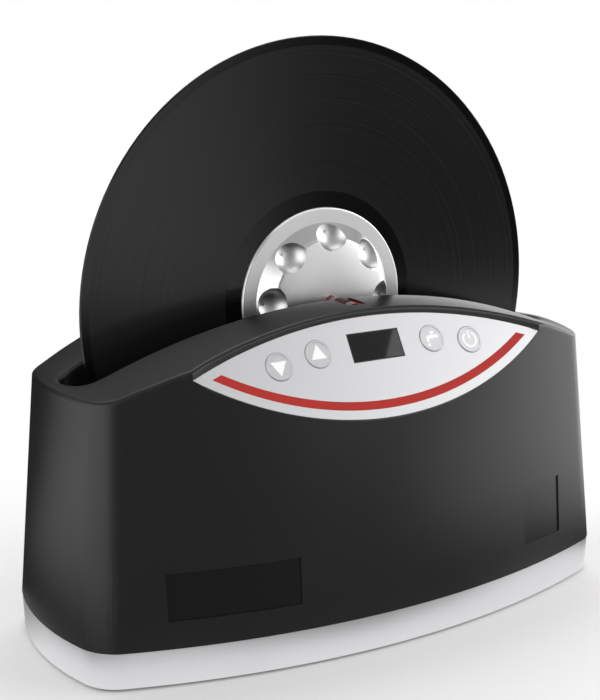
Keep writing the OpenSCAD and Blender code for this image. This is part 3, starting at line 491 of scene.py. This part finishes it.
def ringSign(bm):
    # an open ring with a bar in its gap
    thick = buttons["signThick"]
    half = buttons["ringWidth"] / 2
    gap = buttons["ringGap"]
    corners = [
        bm.verts.new((buttons["ringRadius"] + x, 0, z))
        for x, z in ((-half, 0), (half, 0), (half, thick), (-half, thick))]
    start = bm.faces.new(corners)
    bmesh.ops.rotate(bm, verts=corners, cent=(0, 0, 0), matrix=Matrix.Rotation(math.pi / 2 + gap / 2, 3, "Z"))
    bmesh.ops.spin(
        bm, geom=[start] + list(start.edges) + corners, cent=(0, 0, 0), axis=(0, 0, 1),
        angle=2 * math.pi - gap, steps=40, use_duplicate=False)
    bar = bmesh.ops.create_cube(bm, size=1.0)["verts"]
    bmesh.ops.scale(bm, verts=bar, vec=(buttons["ringWidth"], buttons["barLength"], thick))
    bmesh.ops.translate(
        bm, verts=bar, vec=(0, buttons["ringRadius"] - buttons["barLength"] / 3, thick / 2))


def tapSign(bm):
    bm.faces.new([bm.verts.new((x * mm, y * mm, 0)) for x, y in buttons["tap"]])
    made = bmesh.ops.create_circle(bm, cap_ends=True, segments=20, radius=buttons["dropRadius"])
    x, y = buttons["drop"]
    bmesh.ops.translate(bm, verts=made["verts"], vec=(x * mm, y * mm, 0))
    thicken(bm)


signs = {
    # node: (body, piece, sign, how it is drawn)
    "button_down": ("key_down", "downButton", "downSign", lambda bm: triangleSign(bm, math.pi)),
    "button_up": ("key_up", "upButton", "upSign", lambda bm: triangleSign(bm, 0.0)),
    "button_drain": ("key_drain", "drainButton", "tapSign", tapSign),
    "button_power": ("key_power", "powerButton", "powerSign", ringSign),
}
signWhite = simpleFinish("signWhite", {
    "colour": buttons["signColour"], "rough": 0.45, "mottle": 0.02, "grainScale": 900,
    "grainHeight": 0.000004})
buttonFinish = paintFinish("buttonSilver", {**panel, "colour": buttons["colour"]})
for name, (body, piece, signName, draw) in signs.items():
    makePiece(copyOf(name), piece, [buttonFinish], body, [name])
    low, high = spanIn(panelPlace, name)
    bm = bmesh.new()
    draw(bm)
    bmesh.ops.recalc_face_normals(bm, faces=bm.faces[:])
    seat = Matrix.Translation(((low.x + high.x) / 2, (low.y + high.y) / 2, high.z - buttons["dish"]))
    bmesh.ops.transform(bm, matrix=panelPlace @ seat, verts=bm.verts[:])
    makePiece(bm, signName, [signWhite], body, weighted=False)
print("buttons done")


# Clamp: a turned flange and knob with finger dimples
clamp = {
    "colour": (0.9, 0.9, 0.91),
    "mottle": 0.04,
    "turnedRoughs": (0.38, 0.28, 0.36),        # face, cone and flange
    "dimpleRoughs": (0.42, 0.42, 0.42),
    "ringScale": 5200,
    "ringSpread": 0.08,
    "ringHeight": 0.000003,
    "cloudScale": 25,
    "crown": 2.4,        # how fast the face falls off from the axle, for its look only
    "faceRadius": 37.5 * mm,
    "footRadius": 45 * mm,
    "edge": 0.6 * mm,
    "hubSolid": (4 * mm, 6 * mm),        # the solid's hub lies between these radii
    "hubRadius": 3.5 * mm,
    "hubColour": (0.2, 0.018, 0.02),
    "dimples": 8,
    "dimplePhase": math.radians(43),
    "ballRadius": 11 * mm,        # each dimple is cut with a ball
    "ballFromAxle": 40 * mm,
    "ballOut": 15.5 * mm,
    "ballSlack": 0.05 * mm,
}
axleHigh = (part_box("clamp_axle")[0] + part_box("clamp_axle")[1]) / 2


def clampFinish(name, roughs, crown):
    # fine turned rings on a slightly crowned face
    face, cone, flange = roughs
    finish = Finish(name, metal=1.0)
    x, y, z = finish.split(finish.spot(move=(0, 0, -axleHigh.z)))
    radius = (x * x + z * z).power(0.5)
    rings = finish.ringNoise(radius, clamp["ringScale"], 1.0)
    cloud = finish.noise(clamp["cloudScale"], 2.0)
    finish.mottle(clamp["colour"], clamp["mottle"], rings * 0.5 + cloud * 0.5)
    onCone = radius > clamp["faceRadius"]
    onFlange = radius > clamp["footRadius"]
    rough = face + onCone * (cone - face) + onFlange * (flange - cone)
    finish.feed("Roughness", rough + (rings - 0.5) * clamp["ringSpread"])
    inner = radius.upTo(clamp["faceRadius"])
    finish.bump(rings * clamp["ringHeight"] - inner * inner * crown, 1.0)
    return finish


def fromAxle(point):
    return Vector((point.x - axleHigh.x, 0, point.z - axleHigh.z))


def dimpleFaces(bm, side):
    # faces that lie on one of the balls
    found = set()
    for i in range(clamp["dimples"]):
        turn = clamp["dimplePhase"] + 2 * math.pi * i / clamp["dimples"]
        centre = axleHigh + Vector((math.cos(turn), 0, math.sin(turn))) * clamp["ballFromAxle"]
        centre.y = side * clamp["ballOut"]
        for face in bm.faces:
            off = [abs((v.co - centre).length - clamp["ballRadius"]) for v in face.verts]
            if max(off) < clamp["ballSlack"]:
                found.add(face)
    return found


def slimHub(bm):
    # draw the hub thinner than its solid, in its own finish
    least, most = clamp["hubSolid"]
    for v in bm.verts:
        arm = fromAxle(v.co)
        if least < arm.length < most:
            v.co -= arm * (1 - clamp["hubRadius"] / arm.length)
    for face in bm.faces:
        if all(fromAxle(v.co).length < least for v in face.verts):
            face.material_index = 2


clampFinishes = [
    clampFinish("turnedClamp", clamp["turnedRoughs"], clamp["crown"]),
    clampFinish("polishedDimple", clamp["dimpleRoughs"], 0.0),
    simpleFinish("clampHub", {"colour": clamp["hubColour"], "rough": 0.4, "grainHeight": 0.00001})]
for name, piece, side in (("clamp_front", "clampFront", -1), ("clamp_rear", "clampRear", 1)):
    bm = copyOf(name)
    dimples = dimpleFaces(bm, side)
    for face in dimples:
        face.material_index = 1
    slimHub(bm)
    rims = [e for e in bm.edges if len([f for f in e.link_faces if f in dimples]) == 1]
    bmesh.ops.bevel(
        bm, geom=rims, offset=clamp["edge"], segments=2, profile=0.5, affect="EDGES", material=-1,
        clamp_overlap=True)
    makePiece(bm, piece, clampFinishes, "clamped_record", [name], sharp=40)
print("clamp done")


# Record: pressed black vinyl, finely grooved between two smooth rings
disc = {
    "colour": (0.0033, 0.0033, 0.0034),
    "groovedColour": (0.0085, 0.0085, 0.0087),
    "gloss": 0.4,
    "smoothRough": 0.12,
    "grooveRough": 0.17,
    "leadIn": 4.8 * mm,        # width of the smooth ring at the rim
    "leadInFade": 1.0 * mm,
    "runOut": 62.9 * mm,        # radius where the grooves start
    "runOutFade": 0.7 * mm,
    "groovePitch": 1.3 * mm,
    "grooveHeight": 0.00002,
    "trackScale": 700,
    "trackSpread": 0.12,
}


def vinylFinish():
    low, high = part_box("record")
    finish = Finish("blackVinyl", gloss=disc["gloss"])
    x, y, z = finish.split(finish.spot(move=(0, 0, -(low.z + high.z) / 2)))
    radius = (x * x + z * z).power(0.5)
    start = disc["runOut"]
    end = (high.x - low.x) / 2 - disc["leadIn"]
    grooved = radius.step(start - disc["runOutFade"], start + disc["runOutFade"]) * (
        1.0 - radius.step(end - disc["leadInFade"], end))
    waves = (radius * (2 * math.pi / disc["groovePitch"])).sine()
    tracks = finish.ringNoise(radius, disc["trackScale"], 2.0)
    finish.feed("Base Color", finish.blend(grooved, shade(disc["colour"]), shade(disc["groovedColour"])))
    finish.feed("Roughness", disc["smoothRough"] + grooved * (
        disc["grooveRough"] - disc["smoothRough"] + (tracks - 0.5) * disc["trackSpread"]))
    finish.bump(grooved * (waves * 0.5 + tracks), disc["grooveHeight"])
    return finish


makePiece(copyOf("record"), "disc", [vinylFinish()], "clamped_record", ["record"])
for name in ("disc", "clampFront", "clampRear"):
    bpy.data.objects[name].visible_glossy = False        # the housing's top doesn't mirror them
print("record done")


# What sits in the slot: red saddles, dark sleeves, the steel axle and the clamp's rubber pads
axleLooks = {
    "saddle": {"colour": (0.45, 0.03, 0.035), "rough": 0.38, "mottle": 0.08, "grainHeight": 0.00002},
    "sleeve": {"colour": (0.07, 0.03, 0.032), "rough": 0.45, "mottle": 0.08},
    # painted reflection: the axle's pink tint stands for the red saddles mirrored in the steel
    "axle": {"colour": (0.5, 0.44, 0.44), "rough": 0.24, "metal": 1.0, "mottle": 0.05,
             "stretch": (1, 0.05, 1)},
    "pad": {"colour": (0.014, 0.014, 0.014), "rough": 0.7, "mottle": 0.2, "gloss": 0.3},
}
saddleRed = simpleFinish("saddleRed", axleLooks["saddle"])
sleeveDark = simpleFinish("sleeveDark", axleLooks["sleeve"])
# steel axle whose pink tint is a painted reflection of the red saddles
axleSteelPaintedReflection = simpleFinish("axleSteelPaintedReflection", axleLooks["axle"])
padRubber = simpleFinish("padRubber", axleLooks["pad"])
for name, piece, finish, body, slotName in (
        ("saddle_front", "frontSaddle", saddleRed, "machine", "saddle_red"),
        ("saddle_rear", "rearSaddle", saddleRed, "machine", "saddle_red"),
        ("sleeve_front", "frontSleeve", sleeveDark, "axle_carrier", "sleeve_plastic"),
        ("sleeve_rear", "rearSleeve", sleeveDark, "axle_carrier", "sleeve_plastic"),
        ("clamp_axle", "axle", axleSteelPaintedReflection, "clamped_record", "shaft_steel"),
        ("clamp_pads", "pads", padRubber, "clamped_record", "foot_rubber")):
    makePiece(copyOf(name), piece, [finish], body, [name])
print("axle done")


# Base, rear and inside
screwSteel = {"colour": (0.5, 0.5, 0.52), "rough": 0.35, "metal": 1.0}
boardGreen = {"colour": (0.02, 0.12, 0.05), "rough": 0.35, "mottle": 0.25, "mottleScale": 160}
insideLooks = {
    "base_plate": {"colour": (0.024, 0.024, 0.026), "rough": 0.55, "grainHeight": 0.00006},
    "rubber_feet": {"colour": (0.014, 0.014, 0.014), "rough": 0.75, "gloss": 0.3},
    "base_screws": screwSteel,
    "display_module": {"colour": (0.02, 0.024, 0.022), "rough": 0.3},
    "keypad_board": boardGreen,
    "keypad_switches": {"colour": (0.05, 0.05, 0.055), "rough": 0.4},
    "bath_tank": {"colour": (0.55, 0.56, 0.57), "rough": 0.3, "metal": 1.0, "stretch": (0.04, 0.04, 1)},
    "tank_seal": {"colour": (0.1, 0.1, 0.1), "rough": 0.7},
    "tank_screws": screwSteel,
    "transducers": {"colour": (0.55, 0.56, 0.58), "rough": 0.32, "metal": 1.0, "stretch": (1, 0.05, 1)},
    "generator_board": boardGreen,
    "generator_parts": {"colour": (0.1, 0.1, 0.12), "rough": 0.4, "mottle": 0.3},
    "power_jack": {"colour": (0.018, 0.018, 0.019), "rough": 0.4},
    "drain_tube": {"colour": (0.55, 0.56, 0.52), "rough": 0.3},
    "drain_pump": {"colour": (0.03, 0.03, 0.034), "rough": 0.45},
    "drain_spigot": {"colour": (0.022, 0.022, 0.024), "rough": 0.45},
    "drive_bracket": {**screwSteel, "stretch": (1, 1, 0.05)},
    "drive_motor": {"colour": (0.4, 0.4, 0.42), "rough": 0.35, "metal": 1.0},
    "drive_screws": screwSteel,
    "motor_pinion": {"colour": (0.6, 0.45, 0.2), "rough": 0.3, "metal": 1.0},
    "roller_gear": {"colour": (0.7, 0.7, 0.66), "rough": 0.5},
    "roller_shaft": {"colour": (0.6, 0.6, 0.62), "rough": 0.22, "metal": 1.0},
    "roller_tyre": {"colour": (0.018, 0.018, 0.018), "rough": 0.75},
}
smoothed = {
    # node on the machine: (piece, slot)
    "rubber_feet": ("feet", "foot_rubber"),
    "power_jack": ("powerJack", "part_dark"),
    "drain_spigot": ("drainSpigot", "part_dark"),
    "base_plate": ("bottomPlate", "base_plastic"),
}
for name, look in insideLooks.items():
    finish = simpleFinish(name + ".finish", look)
    if name in smoothed:
        piece, slotName = smoothed[name]
        makePiece(copyOf(name), piece, [finish], "machine", [name])
    else:
        dress(name, finish)
print("inside done")


# Studio: pale floor, white surroundings and three soft boxes. What a polished surface sees of the world and
# the floor is set apart, as glows in chosen directions.
studio = {
    "floorSize": 14.0,
    "floorColour": (0.93, 0.93, 0.93),
    "shadowReach": (0.12, 0.42),        # between these distances the floor fades to white for the camera
    "skyDiffuse": 0.85,
    "dark": 0.03,        # seen between the glows
    "eyeHeight": 0.12,        # height from which the floor's glows are given
    "overhead": (0.2, 0.6, 0.32),        # heights where it starts and is full, radiance
    "nearMargin": 0.03,        # the strip round the base, added to the body's own outline
    "nearFloor": (0.93, 1.08),        # shares of that outline over which the strip fades out
    "nearLevels": (0.4, 1.0),        # its radiance at the left end, and elsewhere
    "nearTurn": (-115, -90),        # bearings between the two
    "glows": {
        # name: (bearings where it starts, where it ends, heights where it starts, where it ends, radiance)
        "left": ((-148, -106), (-58, -44), (-0.5, -0.16), (0.45, 0.65), 1.45),
        "front": ((-60, -40), (20, 30), (-1.0, -0.9), (0.2, 0.4), 0.14),
        "window": ((6, 16), (24, 33), (-0.145, -0.122), (0.3, 0.4), 0.85),
        "upper": ((38, 60), (64, 84), (0.04, 0.12), (0.42, 0.62), 2.3),
        "table": ((18, 48), (110, 150), (-0.48, -0.22), (-0.15, -0.1), 1.45),
        "right": ((44, 66), (146, 158), (-0.16, -0.1), (0.17, 0.27), 1.45),
    },
    "lamps": {
        # name: (direction, up, distance, width, height, radiance)
        "keySoftbox": ((0.7336, -0.5497, 0.3996), (0.295, 0.816, 0.497), 1.6, 0.9, 1.0, 1.6),
        "topSoftbox": ((0.1, 0.35, 1.0), (0, 1, 0), 1.8, 1.6, 1.2, 1.4),
        "rightSoftbox": ((1.0, 0.1, 0.15), (0, 0, 1), 1.7, 0.7, 0.7, 1.5),
    },
}


def turnStep(x, y, degrees):
    # a ramp over bearings from the front
    return x.bearing(0.0 - y).step(*map(math.radians, degrees))


def glowAt(x, y, height):
    # radiance that a polished surface sees in a direction, by its bearing from the front and its height
    level = studio["dark"]
    for start, end, low, high, radiance in studio["glows"].values():
        glow = turnStep(x, y, start) * (1.0 - turnStep(x, y, end))
        level = glow * (height.step(*low) * (1.0 - height.step(*high)) * radiance) + level
    return level


def floorFinish():
    # plain and diffuse where the shadow falls, white further out, and glowing for polished surfaces
    finish = Finish("paleFloor", rough=0.8, gloss=0.0)
    finish.feed("Base Color", shade(studio["floorColour"]))
    camera, mirrored = finish.rays()
    x, y, z = finish.split(finish.spot())
    around = glowAt(x, y, -studio["eyeHeight"] / (x * x + y * y).power(0.5))
    reach = [cadBox[1][i] + studio["nearMargin"] for i in range(2)]
    outline = ((x / reach[0]).power(4) + (y / reach[1]).power(4)).power(0.25)
    least, most = studio["nearLevels"]
    near = least + turnStep(x, y, studio["nearTurn"]) * (most - least)
    seen = near + outline.step(*studio["nearFloor"]) * (around - near)
    glow = finish.node(
        "ShaderNodeEmission", {}, {"Color": (1, 1, 1, 1), "Strength": camera + mirrored * seen})
    away = (x * x * 0.3 + y * y).power(0.5)
    share = camera * away.step(*studio["shadowReach"]) + mirrored
    plain = Wire(finish, finish.shader.outputs[0])
    mixed = finish.node("ShaderNodeMixShader", {}, {0: share, 1: plain, 2: glow})
    finish.plug(finish.tree.nodes["Material Output"].inputs["Surface"], mixed)
    return finish


bm = bmesh.new()
bmesh.ops.create_grid(bm, x_segments=1, y_segments=1, size=studio["floorSize"] / 2)
floorMesh = bpy.data.meshes.new("floor")
bm.to_mesh(floorMesh)
bm.free()
floorMesh.materials.append(floorFinish().material)
floor = bpy.data.objects.new("floor", floorMesh)
scene.collection.objects.link(floor)

world = bpy.data.worlds.new("studio")
scene.world = world
world.use_nodes = True
sky = Graph(world.node_tree)
camera, mirrored = sky.rays()
x, y, z = sky.split(sky.node("ShaderNodeTexCoord", output="Generated"))
low, high, overhead = studio["overhead"]
around = glowAt(x, y, z) + z.step(low, high) * overhead
other = 1.0 - camera - mirrored
background = world.node_tree.nodes["Background"]
background.inputs["Color"].default_value = (1, 1, 1, 1)
sky.plug(background.inputs["Strength"], camera + mirrored * around + other * studio["skyDiffuse"])

bodyMiddle = (cadBox[0] + cadBox[1]) / 2
for name, (direction, up, distance, width, height, radiance) in studio["lamps"].items():
    lamp = bpy.data.lights.new(name, "AREA")
    lamp.shape = "RECTANGLE"
    lamp.size = width
    lamp.size_y = height
    lamp.energy = radiance * math.pi * width * height
    away = Vector(direction).normalized()
    side = Vector(up).cross(away).normalized()
    holder = bpy.data.objects.new(name, lamp)
    holder.location = bodyMiddle + away * distance
    holder.rotation_mode = "QUATERNION"
    holder.rotation_quaternion = Matrix((side, away.cross(side), away)).transposed().to_quaternion()
    scene.collection.objects.link(holder)
print("studio done")


# Camera
view = {
    "aim": (-3.7 * mm, -0.2 * mm, 154.4 * mm),
    "azimuth": math.radians(-31.483),
    "elevation": math.radians(13.264),
    "distance": 840.7 * mm,
    "focalLength": 72.96,
    "filmHeight": 36.0,
    "shift": (-0.02, 0.0),
    "clipStart": 10 * mm,
}
back = Vector((
    math.sin(view["azimuth"]) * math.cos(view["elevation"]),
    -math.cos(view["azimuth"]) * math.cos(view["elevation"]),
    math.sin(view["elevation"])))
lens = bpy.data.cameras.new("camera")
lens.sensor_fit = "VERTICAL"
lens.sensor_height = view["filmHeight"]
lens.lens = view["focalLength"]
lens.shift_x, lens.shift_y = view["shift"]
lens.clip_start = view["clipStart"]
camera = bpy.data.objects.new("camera", lens)
camera.location = Vector(view["aim"]) + back * view["distance"]
camera.rotation_mode = "QUATERNION"
camera.rotation_quaternion = (-back).to_track_quat("-Z", "Y")
scene.collection.objects.link(camera)
scene.camera = camera
scene.view_settings.view_transform = "Standard"
print("camera done")
